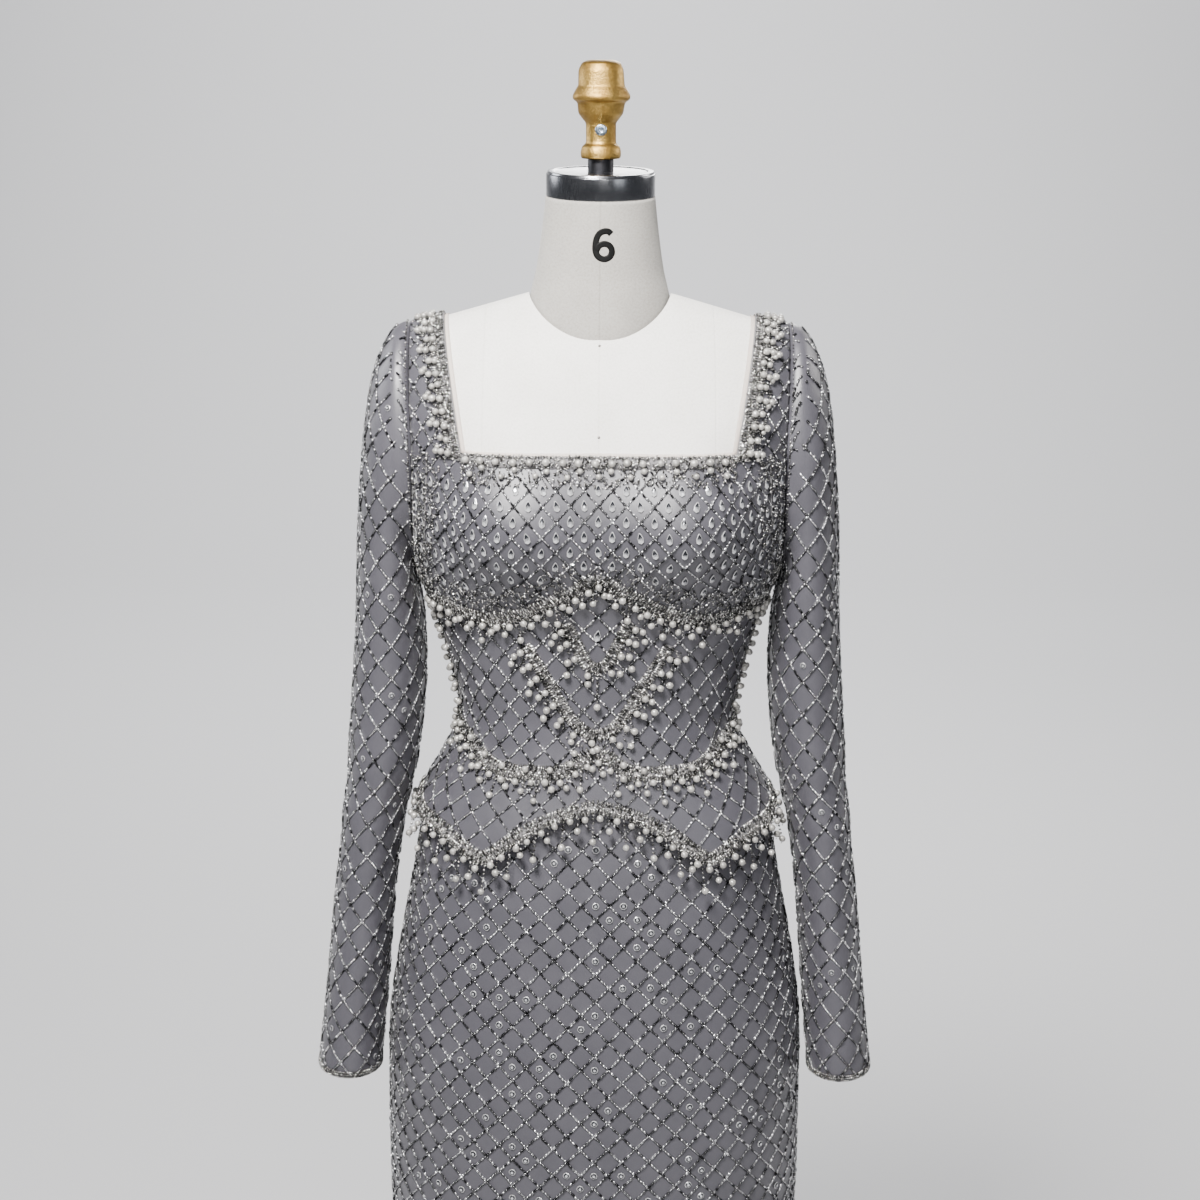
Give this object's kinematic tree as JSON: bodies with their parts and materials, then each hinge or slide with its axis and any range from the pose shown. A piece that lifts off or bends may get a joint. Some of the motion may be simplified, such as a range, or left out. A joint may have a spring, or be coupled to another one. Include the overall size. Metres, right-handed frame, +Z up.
{
  "type": "evening gown on dress form",
  "caption": "Floor-length beaded evening gown with long sleeves, a square neck and a scalloped peplum, worn on a limbless dress form on a round base.",
  "frame": {"origin": "centre of the base's underside, on the floor under the form's pole", "axes": "+Z up, the gown faces -Y, +X to the right seen from the front"},
  "size_m": [0.507, 0.455, 1.6105],
  "materials": {
    "beaded_cloth": "lavender grey satin-backed mesh with a soft sheen",
    "bead_trim": "pearls and silver-lined bugle beads",
    "zip_tape": "woven tape with a nylon coil",
    "zip_metal": "plated zinc",
    "screw_zinc": "blue zinc plate",
    "form_linen": "off-white linen, tightly stretched",
    "neck_linen": "grey-beige linen",
    "cap_steel": "dark polished steel",
    "finial_brass": "rough cast and gilded",
    "pole_steel": "dark satin steel",
    "base_iron": "dark painted iron"
  },
  "bodies": {
    "gown_and_form": {"bodice_front": "beaded_cloth", "bodice_back_left": "beaded_cloth", "bodice_back_right": "beaded_cloth", "sleeve_left": "beaded_cloth", "sleeve_right": "beaded_cloth", "skirt_front": "beaded_cloth", "skirt_back_left": "beaded_cloth", "skirt_back_right": "beaded_cloth", "trim_underbust": "bead_trim", "trim_vee_upper": "bead_trim", "trim_vee_lower": "bead_trim", "trim_waist_front": "bead_trim", "trim_waist_back_left": "bead_trim", "trim_waist_back_right": "bead_trim", "trim_hem_front": "bead_trim", "trim_hem_back_left": "bead_trim", "trim_hem_back_right": "bead_trim", "trim_neck_front": "bead_trim", "trim_neck_back_left": "bead_trim", "trim_neck_back_right": "bead_trim", "zip": "zip_tape", "zip_slider": "zip_metal", "finial_screw": "screw_zinc", "form_torso": "form_linen", "form_neck": "neck_linen", "neck_cap": "cap_steel", "finial": "finial_brass", "pole": "pole_steel", "base": "base_iron"},
    "zip_pull": {"zip_pull": "zip_metal"}
  },
  "joints": [
    {"name": "zip_pull_hinge", "type": "hinge", "parent": "gown_and_form", "child": "zip_pull", "pos_m": [0, 0.11381, 1.32114], "axis": [1, 0, 0], "range_deg": [0, 150]}
  ]
}
